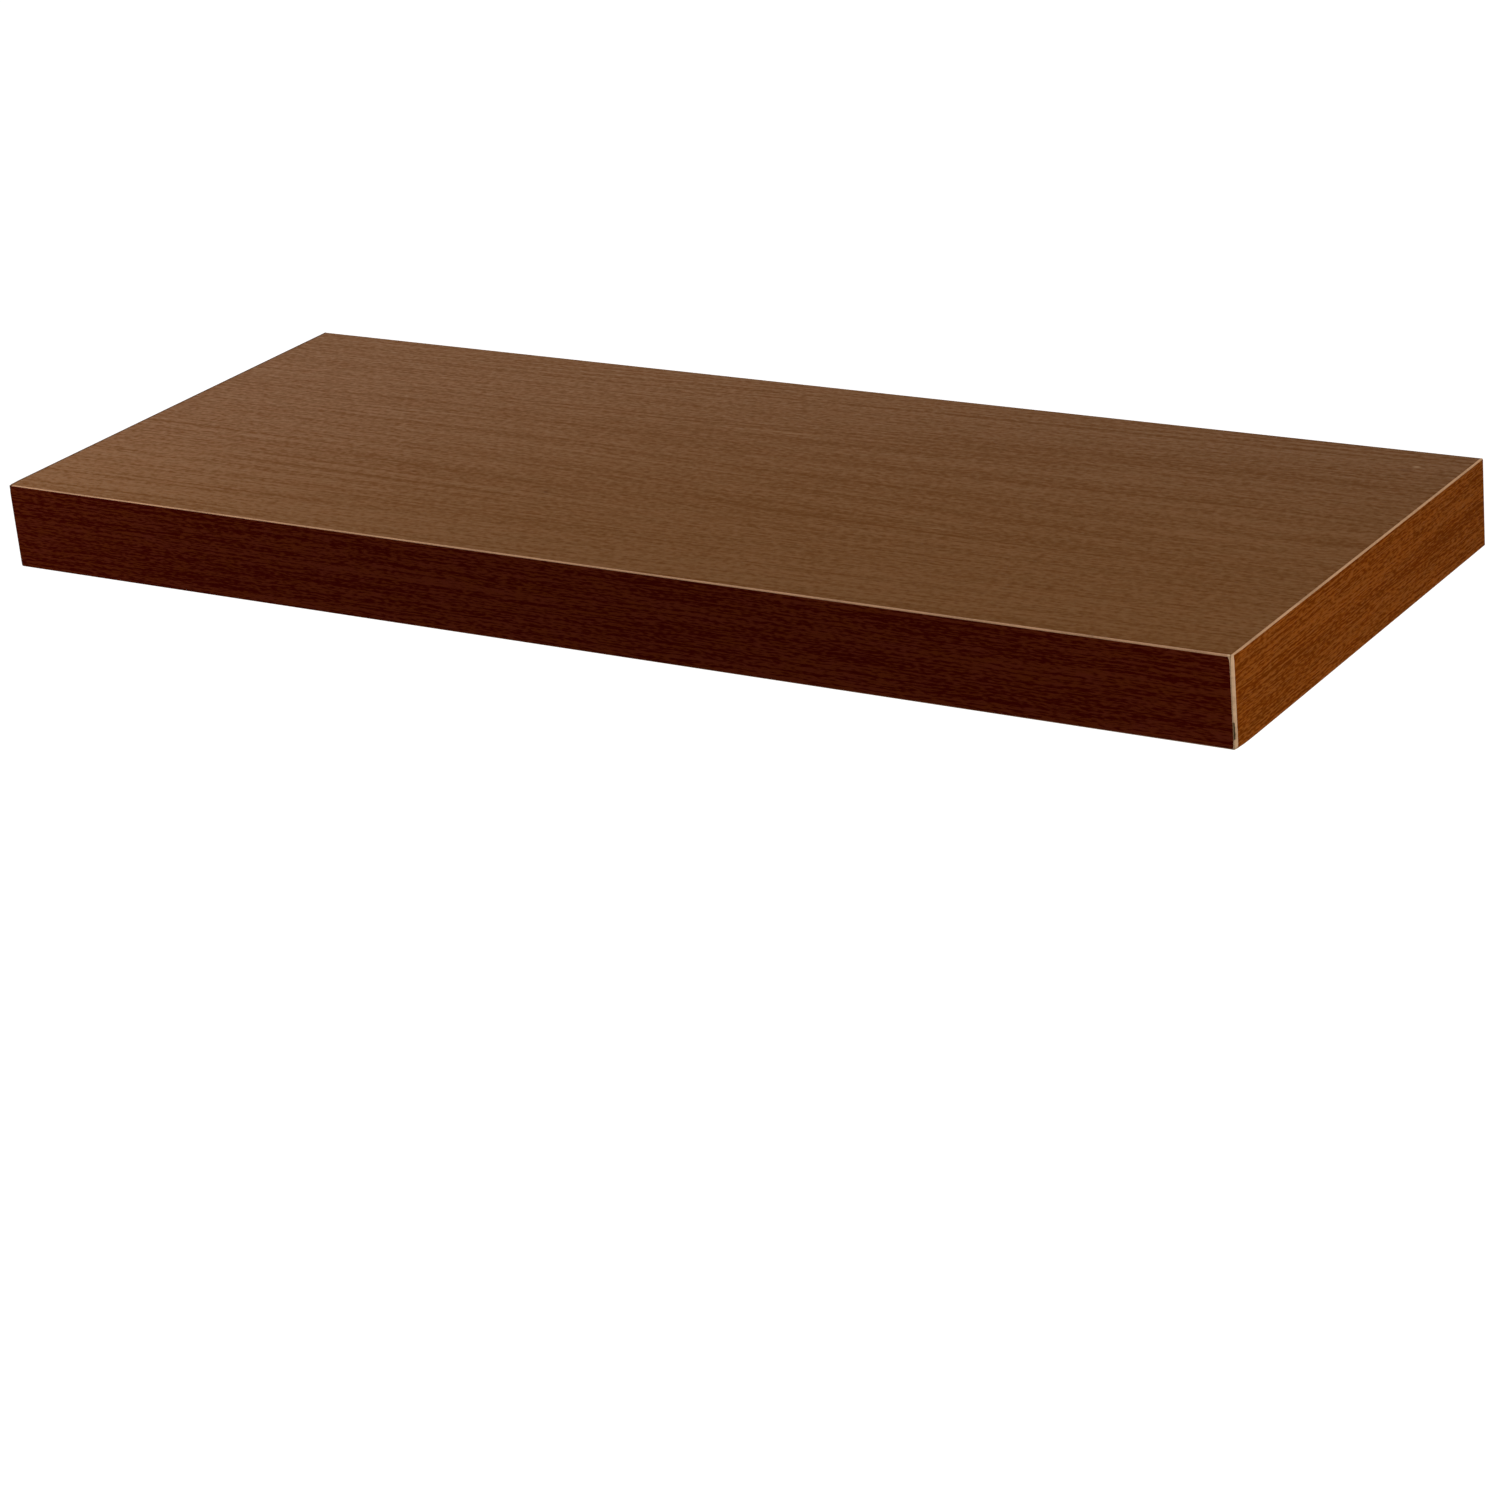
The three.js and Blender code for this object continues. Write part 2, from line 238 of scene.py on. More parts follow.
# Wood print: lighter and darker stripes, faint tints and the few marks
skin_stripes = [
    {"place": -0.200, "half_width": 0.035, "weight": 0.15},
    {"place": -0.006, "half_width": 0.014, "weight": 0.12},
]
front_stripes = [
    {"place": 0.0032, "half_width": 0.0022, "weight": 0.55},
    {"place": -0.0160, "half_width": 0.0014, "weight": 0.45},
]
side_stripes = [
    {"place": 0.0060, "half_width": 0.0024, "weight": 0.30},
    {"place": -0.0120, "half_width": 0.0024, "weight": 0.30},
    {"place": -0.0010, "half_width": 0.0030, "weight": -0.25},
]
stripe_breaks = {"length": 0.05, "width": 0.01}
stripe_level = 0.6  # about which the breaks vary a stripe
skin_tint = {"length": 0.012, "width": 0.009, "tone": (1.025, 0.985, 0.975)}
front_tint = {"length": 0.012, "width": 0.004, "tone": (1.0, 0.90, 2.4)}
side_tint = {"length": 0.012, "width": 0.004, "tone": (1.06, 0.95, 0.6)}
tint_contrast = 2.5
dark_mark = (0.070, 0.022, 0.006)
pale_mark = (0.30, 0.17, 0.085)
top_marks = [
    {"place": (-0.058, -0.160), "half_size": (0.0011, 0.0007), "strength": 0.9, "tone": dark_mark},
    {"place": (-0.131, -0.156), "half_size": (0.0011, 0.0006), "strength": 0.6, "tone": dark_mark},
    {"place": (0.1255, -0.1455), "half_size": (0.0065, 0.0006), "strength": 0.35, "tone": pale_mark},
    {"place": (0.006, -0.061), "half_size": (0.017, 0.0007), "strength": 0.25, "tone": pale_mark},
    {"place": (0.2786, -0.0179), "half_size": (0.0014, 0.0010), "strength": 0.9, "tone": pale_mark},
    {"place": (0.2755, -0.0228), "half_size": (0.0030, 0.0016), "strength": 0.35, "tone": dark_mark},
]
print_seeds = {"top": 3.1, "bottom": 13.7, "front": 7.3, "left_band": 5.7, "right_band": 9.2}

# Cut edges of the bands
front_edge_tone = (0.41, 0.225, 0.125)
side_edge_tone = (0.47, 0.265, 0.14)
corner_tone = (0.53, 0.335, 0.195)
# Painted shade, mixed with dark glue, for the open joint
joint_shade_and_glue_tone = (0.060, 0.045, 0.022)
# Painted shade: the dark tone of the left end's trimmed edges and the bands' left corners, which face away
# from the light
shade_painted_edge_tone = (0.085, 0.032, 0.012)
glue_tone = (0.20, 0.12, 0.06)
cut_edge_dark_share = 0.66
cut_edge_light_share = 1.16
cut_edge_roughness = 0.75
cut_edge_relief = 0.00005
cut_edge_surface = {"Specular IOR Level": 0.03}
cut_edge_layers = [
    {"scale": (900, 900, 900), "detail": 3.0, "tone": 0.7, "roughness": 0.2, "height": 1.0},
    {"scale": (40, 40, 260), "detail": 2.0, "tone": 1.1},
]

# Bare board and paper
raw_surface = {"Specular IOR Level": 0.2}
hardboard_tones = [(0.14, 0.075, 0.035), (0.25, 0.145, 0.072), (0.37, 0.24, 0.13)]
hardboard_roughness = 0.8
hardboard_relief = 0.00015
hardboard_layers = [
    {"scale": (900, 900, 900), "detail": 4.0, "tone": 1.0, "roughness": 0.2, "height": 1.0},
    {"scale": (60, 60, 60), "detail": 3.0, "tone": 0.6},
]
chip_tones = [(0.27, 0.155, 0.070), (0.50, 0.33, 0.175), (0.70, 0.52, 0.33)]
chip_level = 0.04  # before the chips are added
chip_roughness = 0.82
chip_relief = 0.00018
chip_layers = [
    {"scale": (260, 620, 900), "weight": 0.42},
    {"scale": (800, 1500, 2100), "weight": 0.50},
]
chip_grit = {"scale": (1200, 3600, 3600), "detail": 3.0, "tone": 0.7, "roughness": 0.15}
paper_tones = [(0.33, 0.20, 0.10), (0.47, 0.31, 0.165), (0.58, 0.41, 0.24)]
paper_roughness = 0.88
paper_relief = 0.0004
paper_layers = [
    {"scale": (900, 900, 250), "detail": 3.0, "tone": 0.8, "roughness": 0.1, "height": 0.2},
    {"scale": (120, 120, 70), "detail": 2.0, "tone": 0.5, "height": 1.0},
]

# Steel and nylon. brush says how close the steel's fine marks lie on each axis
steels = {
    "plate_steel": {"tone": (0.45, 0.46, 0.48), "brush": (60, 900, 2600), "roughness": 0.42},
    "rod_steel": {"tone": (0.47, 0.48, 0.50), "brush": (900, 2400, 900), "roughness": 0.34},
    "bead_steel": {"tone": (0.19, 0.18, 0.17), "brush": (900, 900, 900), "roughness": 0.5},
    "screw_steel": {"tone": (0.58, 0.58, 0.57), "brush": (1400, 300, 1400), "roughness": 0.28},
}
steel_dark_share = 0.72
steel_light_share = 1.15
steel_relief = 0.00002
steel_marks = {"detail": 3.0, "tone": 0.7, "roughness": 0.25, "height": 1.0}
steel_cloud = {"scale": (140, 140, 140), "detail": 3.0, "tone": 0.8, "roughness": 0.3}
nylon_tones = [(0.22, 0.24, 0.26), (0.28, 0.30, 0.32), (0.34, 0.36, 0.38)]
nylon_roughness = 0.48
nylon_relief = 0.00003
nylon_layers = [{"scale": (500, 500, 500), "detail": 3.0, "tone": 1.0, "roughness": 0.2, "height": 1.0}]


class Shader:
    """A material built by short calls. A value is a number, a colour or another node's output."""

    def __init__(self, name):
        self.material = bpy.data.materials.new(name)
        self.material.use_nodes = True
        self.tree = self.material.node_tree
        self.surface = self.tree.nodes["Principled BSDF"]
        self.place = self.node("TexCoord", {}, "Object")
        split = self.tree.nodes.new("ShaderNodeSeparateXYZ")
        self.tree.links.new(self.place, split.inputs[0])
        self.axis = {"x": split.outputs[0], "y": split.outputs[1], "z": split.outputs[2]}

    def put(self, socket, value):
        if isinstance(value, bpy.types.NodeSocket):
            self.tree.links.new(value, socket)
        else:
            socket.default_value = value

    def node(self, kind, values, output=0, **settings):
        node = self.tree.nodes.new("ShaderNode" + kind)
        for key, setting in settings.items():
            setattr(node, key, setting)
        for key, value in values.items():
            self.put(node.inputs[key], value)
        return node.outputs[output]

    def math(self, operation, *values):
        return self.node("Math", dict(enumerate(values)), operation=operation)

    def add(self, *values):
        total = values[0]
        for value in values[1:]:
            total = self.math("ADD", total, value)
        return total

    def times(self, first, second):
        return self.math("MULTIPLY", first, second)

    def point(self, x, y, z):
        return self.node("CombineXYZ", {"X": x, "Y": y, "Z": z})

    def scaled(self, scale):
        """The place on the object, so many units to the metre on each axis."""
        return self.node("VectorMath", {0: self.place, 1: scale}, operation="MULTIPLY")

    def noise(self, vector, detail):
        """A noise around zero, from about -0.3 to 0.3."""
        values = {"Vector": vector, "Scale": 1.0, "Detail": detail}
        return self.math("SUBTRACT", self.node("TexNoise", values), mid_level)

    def stretched_noise(self, along, across, patch, seed):
        """A noise whose patches are as long and as wide as patch says."""
        in_lengths = self.times(along, 1 / patch["length"])
        in_widths = self.times(across, 1 / patch["width"])
        return self.noise(self.point(in_lengths, in_widths, seed), patch.get("detail", plain_detail))

    def layer_noises(self, layers):
        return [self.noise(self.scaled(layer["scale"]), layer["detail"]) for layer in layers]

    def moved(self, start, noises, layers, effect):
        """The start, moved by each layer's noise as far as the layer says for that effect."""
        total = start
        for patch, layer in zip(noises, layers):
            if effect in layer:
                total = self.add(total, self.times(patch, layer[effect]))
        return total

    def hump(self, value, centre, half_width):
        """One at the centre, falling smoothly to about a third at the half width and then to nothing."""
        offset = self.math("DIVIDE", self.math("SUBTRACT", value, centre), half_width)
        return self.math("EXPONENT", self.times(self.math("POWER", offset, 2.0), -1.0))

    def between(self, value, low, high):
        """Nought at low and one at high, smooth between."""
        values = {"Value": value, "From Min": low, "From Max": high}
        return self.node("MapRange", values, interpolation_type="SMOOTHSTEP")

    def ramp(self, factor, tones):
        node = self.tree.nodes.new("ShaderNodeValToRGB")
        stops = node.color_ramp.elements
        while len(stops) < len(tones):
            stops.new(mid_level)
        for stop, place, tone in zip(stops, tone_places, tones):
            stop.position = place
            stop.color = (*tone, 1.0)
        self.put(node.inputs[0], factor)
        return node.outputs[0]

    def blend(self, factor, first, second, kind="MIX"):
        node = self.tree.nodes.new("ShaderNodeMix")
        node.data_type = "RGBA"
        node.blend_type = kind
        sockets = {socket.identifier: socket for socket in [*node.inputs, *node.outputs]}
        self.put(sockets["Factor_Float"], factor)
        self.put(sockets["A_Color"], first)
        self.put(sockets["B_Color"], second)
        return sockets["Result_Color"]

    def finish(self, color, roughness, height, relief, fixed):
        """Sets the surface. relief is the height in metres that a height of one stands for."""
        inputs = self.surface.inputs
        self.put(inputs["Base Color"], color)
        self.put(inputs["Roughness"], roughness)
        for socket, value in fixed.items():
            inputs[socket].default_value = value
        self.put(inputs["Normal"], self.node("Bump", {"Height": height, "Distance": relief}))
        return self.material


def wood_print(
    name, along, across, tones, layers, seed, wave, surface, tint,
    stripes=(), ripple=None, flow=None, lines=(), marks=(),
):
    """A printed grain along one axis: fine fibres, longer streaks, and lighter or darker stripes."""
    shader = Shader(name)
    u = shader.axis[along]
    v = shader.axis[across]
    waver = shader.stretched_noise(u, v, wave, seed)
    v = shader.add(v, shader.times(waver, wave["height"]))
    flowing = flow(shader, u, v) if flow else v
    grain = mid_level
    for i, layer in enumerate(layers):
        across_grain = flowing if layer["length"] > flowing_length else v
        patch = shader.stretched_noise(u, across_grain, layer, seed + i)
        grain = shader.add(grain, shader.times(patch, layer["weight"]))
    if ripple is not None:
        drift = shader.stretched_noise(u, v, ripple, seed + ripple_seed_step)
        drifted = shader.add(v, shader.times(drift, ripple["drift"]))
        turn = shader.times(drifted, 2 * math.pi / ripple["pitch"])
        grain = shader.add(grain, shader.times(shader.math("SINE", turn), ripple["weight"]))
    for i, line in enumerate(lines):
        patch = shader.stretched_noise(u, flowing, line, seed + line_seed_step + i)
        shown = shader.between(patch, line["start"], line["full"])
        grain = shader.add(grain, shader.times(shown, line["weight"]), -line_mean_share * line["weight"])
    fibres = grain
    for stripe in stripes:
        hump = shader.hump(v, stripe["place"], stripe["half_width"])
        broken = shader.add(stripe_level, shader.stretched_noise(u, v, stripe_breaks, seed))
        grain = shader.add(grain, shader.times(shader.times(hump, broken), stripe["weight"]))
    color = shader.ramp(grain, tones)
    patch = shader.stretched_noise(u, v, tint, seed)
    tinted = shader.add(mid_level, shader.times(patch, tint_contrast))
    color = shader.blend(tinted, color, (*tint["tone"], 1.0), "MULTIPLY")
    for mark in marks:
        along_mark = shader.hump(shader.axis[along], mark["place"][0], mark["half_size"][0])
        across_mark = shader.hump(shader.axis[across], mark["place"][1], mark["half_size"][1])
        spot = shader.times(shader.times(along_mark, across_mark), mark["strength"])
        color = shader.blend(spot, color, (*mark["tone"], 1.0))
    swing = shader.times(shader.math("SUBTRACT", fibres, mid_level), foil_roughness_swing)
    return shader.finish(color, shader.add(foil_roughness, swing), fibres, foil_relief, surface)


def opening_flow(shader, u, v):
    """Bends the grain back towards the right, but forwards round the opening in front of the middle."""
    onwards = shader.between(u, -half_length, half_length)
    opening = shader.times(shader.hump(v, opening_place, opening_half_width), opening_shift)
    return shader.add(v, shader.times(onwards, shader.add(opening, -grain_rise)))


def skin_print(side, marks=()):
    # Its tones carry a painted sheen
    return wood_print(
        side + "_print", "x", "y", skin_sheen_tones, skin_grain_layers, print_seeds[side], skin_wave,
        skin_surface, skin_tint, stripes=skin_stripes, flow=opening_flow, lines=skin_lines, marks=marks,
    )


def front_print():
    # Its tones carry painted shade
    return wood_print(
        "front_print", "x", "z", front_shaded_tones, band_grain_layers, print_seeds["front"], band_wave,
        band_surface, front_tint, stripes=front_stripes, ripple=band_ripple,
    )


def side_print(band_name):
    return wood_print(
        band_name + "_print", "y", "z", side_tones, band_grain_layers, print_seeds[band_name], band_wave,
        band_surface, side_tint, stripes=side_stripes, ripple=band_ripple,
    )


def shades(tone, dark_share, light_share):
    """The tone between a darker and a lighter one."""
    dark = tuple(dark_share * part for part in tone)
    light = tuple(min(1.0, light_share * part) for part in tone)
    return [dark, tone, light]


def layered(name, tones, layers, roughness, relief, surface, shade_and_glue=None):
    """A material whose layers of noise move its tone, its roughness and its height."""
    shader = Shader(name)
    noises = shader.layer_noises(layers)
    color = shader.ramp(shader.moved(mid_level, noises, layers, "tone"), tones)
    # The optional hook paints shade, mixed with dark glue, onto the colour
    if shade_and_glue:
        color = shade_and_glue(shader, color, noises[0])
    dullness = shader.moved(roughness, noises, layers, "roughness")
    height = shader.moved(0.0, noises, layers, "height")
    return shader.finish(color, dullness, height, relief, surface)


def joint_shade_and_glue(shader, color, ragged):
    """Paints shade, mixed with dark glue, into the open joint low on the corner, inside ragged limits."""
    height = shader.add(shader.axis["z"], shader.times(ragged, shade_and_glue_end_ragged))
    below_top = shader.between(height, joint_gap_top, joint_gap_top - joint_gap_soft)
    above_bottom = shader.between(height, joint_gap_bottom, joint_gap_bottom + joint_gap_soft)
    side = shader.add(shader.axis["x"], shader.times(ragged, shade_and_glue_side_ragged))
    boundary = half_length - corner_trim + shade_and_glue_reach
    left_part = shader.between(side, boundary, boundary - shade_and_glue_side_soft)
    mask = shader.times(shader.times(below_top, above_bottom), left_part)
    return shader.blend(mask, color, (*joint_shade_and_glue_tone, 1.0))


def cut_edge(name, tone, shade_and_glue=None):
    """The core of a band where its printed face is trimmed away: pale, or dark where it carries painted
    shade.
    """
    tones = shades(tone, cut_edge_dark_share, cut_edge_light_share)
    return layered(
        name, tones, cut_edge_layers, cut_edge_roughness, cut_edge_relief, cut_edge_surface, shade_and_glue
    )


def hardboard():
    """The back of a skin: pressed brown fibre."""
    return layered(
        "hardboard", hardboard_tones, hardboard_layers, hardboard_roughness, hardboard_relief, raw_surface
    )


def chipboard():
    """Pressed wood chips of two sizes, seen on the rails and the blocks."""
    shader = Shader("chipboard")
    level = chip_level
    height = 0.0
    for layer in chip_layers:
        place = shader.scaled(layer["scale"])
        warp = shader.noise(place, plain_detail)
        spot = shader.node("VectorMath", {0: place, 1: warp}, operation="ADD")
        chips = shader.tree.nodes.new("ShaderNodeTexVoronoi")
        chips.inputs["Scale"].default_value = 1.0
        shader.put(chips.inputs["Vector"], spot)
        tint = shader.node("SeparateColor", {0: chips.outputs["Color"]})
        level = shader.add(level, shader.times(tint, layer["weight"]))
        height = shader.add(height, shader.times(chips.outputs["Distance"], -layer["weight"]))
    grit = shader.noise(shader.scaled(chip_grit["scale"]), chip_grit["detail"])
    level = shader.add(level, shader.times(grit, chip_grit["tone"]))
    dullness = shader.add(chip_roughness, shader.times(grit, chip_grit["roughness"]))
    color = shader.ramp(level, chip_tones)
    return shader.finish(color, dullness, shader.add(height, grit), chip_relief, raw_surface)


def honeycomb_paper():
    """Brown board paper with a faint fibre and a few creases."""
    return layered(
        "honeycomb_paper", paper_tones, paper_layers, paper_roughness, paper_relief, raw_surface
    )


def steel(name):
    """Zinc-coated steel with fine marks drawn out along one axis."""
    values = steels[name]
    tones = shades(values["tone"], steel_dark_share, steel_light_share)
    layers = [dict(steel_marks, scale=values["brush"]), steel_cloud]
    return layered(name, tones, layers, values["roughness"], steel_relief, {"Metallic": 1.0})


def nylon():
    """Grey moulded nylon, a little cloudy."""
    return layered("nylon", nylon_tones, nylon_layers, nylon_roughness, nylon_relief, {})


def added(name, data):
    """A new object in the scene."""
    made = bpy.data.objects.new(name, data)
    bpy.context.scene.collection.objects.link(made)
    return made


def piece(name, points, faces, materials, places=None):
    """A mesh object with its faces turned outwards. places gives each face's material."""
    mesh = bpy.data.meshes.new(name)
    mesh.from_pydata([tuple(point) for point in points], [], faces)
    for material in materials:
        mesh.materials.append(material)
    if places is not None:
        mesh.polygons.foreach_set("material_index", places)
    model = bmesh.new()
    model.from_mesh(mesh)
    bmesh.ops.recalc_face_normals(model, faces=model.faces)
    model.to_mesh(mesh)
    model.free()
    mesh.shade_smooth()
    mesh.set_sharp_from_angle(angle=smooth_angle)
    return added(name, mesh)


def settle(made, body, slot, *nodes):
    """Puts a piece on its body, in place of the nodes that it stands for."""
    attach(made, body)
    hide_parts(*nodes)
    return made


def eased_points(steps):
    """A trimmed edge of unit size, from the face (1, 0) over to the other face (0, 1)."""
    power = 2 / edge_fullness
    angles = [math.pi / 2 * i / steps for i in range(steps + 1)]
    return [(max(0.0, math.cos(a)) ** power, math.sin(a) ** power) for a in angles]


def corner_outline(from_x, to_x, steps):
    """The board's trimmed right front corner in plan, over part of its width."""
    power = 2 / edge_fullness
    start_x = half_length - corner_trim

    def angle_at(x):
        return math.asin(min(1.0, (x - start_x) / corner_trim) ** (1 / power))

    first, last = angle_at(from_x), angle_at(to_x)
    outline = []
    for i in range(steps + 1):
        angle = first + (last - first) * i / steps
        across = corner_trim * math.sin(angle) ** power
        back = corner_trim * max(0.0, math.cos(angle)) ** power
        outline.append(Vector((start_x + across, front_face + corner_trim - back)))
    return outline


def even_run(first, last, gap):
    """Values from first to last, about that far apart, without the two ends."""
    count = max(1, round(abs(last - first) / gap))
    return [first + (last - first) * i / count for i in range(1, count)]


def trim_at(place, seed, growth):
    """The trimmed width of a band's edge, which wanders a little along the band."""
    wander = noise.noise(Vector((place / edge_trim_wander, seed, 0.0)))
    return edge_trim * (1 + growth - edge_trim_play_share * (mid_level + wander))


def band_section(outer, inner, place, seed, growth):
    """The outline across a band, from its inner bottom edge round the outside to its inner top edge."""
    inward = (inner - outer).normalized()
    eased = eased_points(edge_steps)
    trims = {-1: trim_at(place, seed, growth), 1: trim_at(place, seed + top_edge_seed_step, growth)}

    def at(inset, height):
        spot = outer + inward * inset
        return Vector((spot.x, spot.y, height))

    def edge(side):
        trim = trims[side]
        return [at(trim * (1 - u), side * (half_height - trim * (1 - w))) for u, w in eased]

    low = -half_height + trims[-1]
    high = half_height - trims[1]
    rows = [at(0.0, low + (high - low) * i / band_row_count) for i in range(1, band_row_count)]
    bottom = Vector((inner.x, inner.y, -half_height))
    top = Vector((inner.x, inner.y, half_height))
    return [bottom, *reversed(edge(-1)), *rows, *edge(1), top]


def band(name, outline, corner_stations, materials, reshape, trim_gain=0.0):
    """A printed band lofted along its plan outline of (outer, inner) points.

    The materials are named print, edge, right_corner, left_corner and back.
    """
    seed = float(len(name))
    sections = []
    for outer, inner in outline:
        place = outer.x - outer.y
        section = band_section(outer, inner, place, seed, trim_gain * outer.x)
        sections.append([reshape(point) for point in section])
    count = len(sections[0])
    points = [point for section in sections for point in section]
    faces = []
    kinds = []
    rows_start = edge_steps + 1
    rows_end = count - edge_steps - 2
    for s in range(len(sections) - 1):
        for i in range(count):
            j = (i + 1) % count
            faces.append((s * count + i, s * count + j, (s + 1) * count + j, (s + 1) * count + i))
            if i == count - 1:
                kinds.append("back")
            elif s in corner_stations:
                kinds.append("right_corner" if outline[s][0].x > 0 else "left_corner")
            else:
                kinds.append("print" if rows_start <= i < rows_end else "edge")
    faces.append(tuple(range(count)))
    faces.append(tuple(range(len(points) - count, len(points))))
    kinds += ["back", "back"]
    names = list(materials)
    return piece(name, points, faces, materials.values(), [names.index(kind) for kind in kinds])


def near_end_share(height):
    """One at the board's top and bottom, falling off with depth."""
    return math.exp(-(half_height - abs(height)) / corner_flare_reach)


def joint_gap_share(height):
    """One inside the open stretch of the right front joint, and nought outside it."""
    wander = noise.noise(Vector((0.0, joint_gap_seed, height * joint_gap_fineness)))
    ragged = height + joint_gap_ragged * wander
    inside = min(joint_gap_top - ragged, ragged - joint_gap_bottom)
    return min(1.0, max(0.0, inside / joint_gap_soft))


def rounded_bottom(point):
    """Draws the board's bottom front corners back onto an arc, as seen from the front."""
    middle_x = half_length - corner_round
    middle_z = corner_round - half_height
    over = Vector((abs(point.x) - middle_x, middle_z - point.z))
    if min(over) <= 0 or over.length <= corner_round:
        return point
    share = math.exp((front_face - point.y) / corner_round_run)
    over = over.lerp(over.normalized() * corner_round, share)
    return Vector((math.copysign(middle_x + over.x, point.x), point.y, middle_z - over.y))


def reshape_front(point):
    """Rubs the front band's corners round, and opens the joint at its right end."""
    start_x = half_length - corner_trim
    side = math.copysign(1.0, point.x)
    beyond = abs(point.x) - start_x
    end_run = panel_end - start_x
    if beyond < 0:
        share = math.exp(beyond / corner_flare_run)
    else:
        share = 1 - beyond / end_run
    flare = corner_flare * near_end_share(point.z)
    if point.z < 0:
        flare *= corner_flare_low_share
    x = point.x - side * flare * share
    if side > 0 and beyond > 0:
        x -= joint_gap_depth * joint_gap_share(point.z) * beyond / end_run
    return rounded_bottom(Vector((x, point.y, point.z)))


def front_band(materials):
    start_x = half_length - corner_trim
    corner = corner_outline(start_x, panel_end, front_corner_steps)
    near = [start_x - corner_flare_run * share for share in corner_station_shares]
    half = even_run(0.0, near[0], band_station_gap)
    right = [Vector((x, front_face)) for x in [*half, *near]] + corner
    left = [Vector((-spot.x, spot.y)) for spot in reversed(right)]
    spots = [*left, Vector((0.0, front_face)), *right]
    outline = [(spot, Vector((spot.x, front_band_inside))) for spot in spots]
    span_count = len(outline) - 1
    corners = {*range(front_corner_steps), *range(span_count - front_corner_steps, span_count)}
    return band("front_band", outline, corners, materials, reshape_front, front_trim_gain)


def end_band(name, side, materials):
    """An end band. side is 1 on the right and -1 on the left."""
    corner = corner_outline(end_band_inside, half_length, end_corner_steps)
    tip = corner[0].y
    straight = even_run(corner[-1].y, 0.0, band_station_gap)
    spots = [*corner, *[Vector((half_length, y)) for y in [*straight, 0.0]]]
    outline = []
    for spot in spots:
        inner = Vector((end_band_inside, max(spot.y, tip + band_tip_lead)))
        outline.append((Vector((side * spot.x, spot.y)), Vector((side * inner.x, inner.y))))

    def reshape(point):
        at_tip = max(0.0, 1 - (point.y - tip) / band_tip_lead)
        open_share = joint_gap_share(point.z) if side > 0 else 0.0
        rub = 0.0
        if point.z > 0:
            rub = corner_rub * near_end_share(point.z)
            rub *= math.exp((front_face - point.y) / corner_rub_run)
        outward = (abs(point.x) - end_band_inside) / (half_length - end_band_inside)
        y = point.y + joint_gap_depth * open_share * at_tip + rub
        return rounded_bottom(Vector((point.x - side * rub * outward, y, point.z)))

    return band(name, outline, set(range(end_corner_steps)), materials, reshape)


def eased_box(name, low, high, rounding, materials, pick):
    """A block with rounded edges. pick gives a face's material from its normal."""
    model = bmesh.new()
    bmesh.ops.create_cube(model, size=1.0)
    size = high - low
    middle = (high + low) / 2
    for vertex in model.verts:
        vertex.co = Vector([middle[i] + size[i] * vertex.co[i] for i in range(3)])
    bmesh.ops.bevel(
        model, geom=model.edges[:], offset=rounding, segments=round_segments, profile=round_profile,
        affect="EDGES",
    )
    bmesh.ops.recalc_face_normals(model, faces=model.faces)
    for face in model.faces:
        face.material_index = pick(face.normal)
    mesh = bpy.data.meshes.new(name)
    model.to_mesh(mesh)
    model.free()
    for material in materials:
        mesh.materials.append(material)
    mesh.shade_smooth()
    mesh.set_sharp_from_angle(angle=smooth_angle)
    return added(name, mesh)


def panel(name, node, side, materials):
    """A skin whose outer face carries the print. side is 1 for the top and -1 for the bottom."""
    low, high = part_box(node)

    def pick(normal):
        return 0 if normal.z * side > print_facing_share else 1

    made = eased_box(name, low, high, panel_edge_round, materials, pick)
    return settle(made, "shelf", "top_foil", node)


def ease_node(node, material, rounding):
    """Gives a solid of the frame its finish and slightly rounded edges."""
    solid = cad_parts[node]
    for slot in solid.material_slots:
        slot.material = material
    weld = solid.modifiers.new("weld", "WELD")
    weld.merge_threshold = merge_reach
    if rounding > 0:
        bevel = solid.modifiers.new("eased_edges", "BEVEL")
        bevel.width = rounding
        bevel.segments = round_segments
        bevel.limit_method = "ANGLE"


def make_board():
    raw = hardboard()
    # The corner core carries painted shade, with dark glue, in the open joint
    corner = cut_edge("corner_core", corner_tone, joint_shade_and_glue)
    # The left edges and left corners are painted dark as shade
    left_shade_edge = cut_edge("left_edge_painted_shade", shade_painted_edge_tone)
    shared = {"right_corner": corner, "left_corner": left_shade_edge, "back": cut_edge("glue_face", glue_tone)}
    panel("top_skin", "top_panel", 1, [skin_print("top", top_marks), raw])
    panel("bottom_skin", "bottom_panel", -1, [skin_print("bottom"), raw])
    front_materials = {"print": front_print(), "edge": cut_edge("front_edge", front_edge_tone), **shared}
    settle(front_band(front_materials), "shelf", "front_foil", "front_edge_band")
    side_edge = cut_edge("side_edge", side_edge_tone)
    for name, side, edge in (("left_band", -1, left_shade_edge), ("right_band", 1, side_edge)):
        made = end_band(name, side, {"print": side_print(name), "edge": edge, **shared})
        settle(made, "shelf", "side_foil", name.replace("_band", "_edge_band"))
    chips = chipboard()
    rails = ["left_end_rail", "right_end_rail", "front_rail", "rear_rail"]
    for node in [*rails, "left_guide_block", "right_guide_block"]:
        ease_node(node, chips, raw_edge_round)
    paper = honeycomb_paper()
    for node in ("left_honeycomb", "centre_honeycomb", "right_honeycomb"):
        ease_node(node, paper, 0.0)


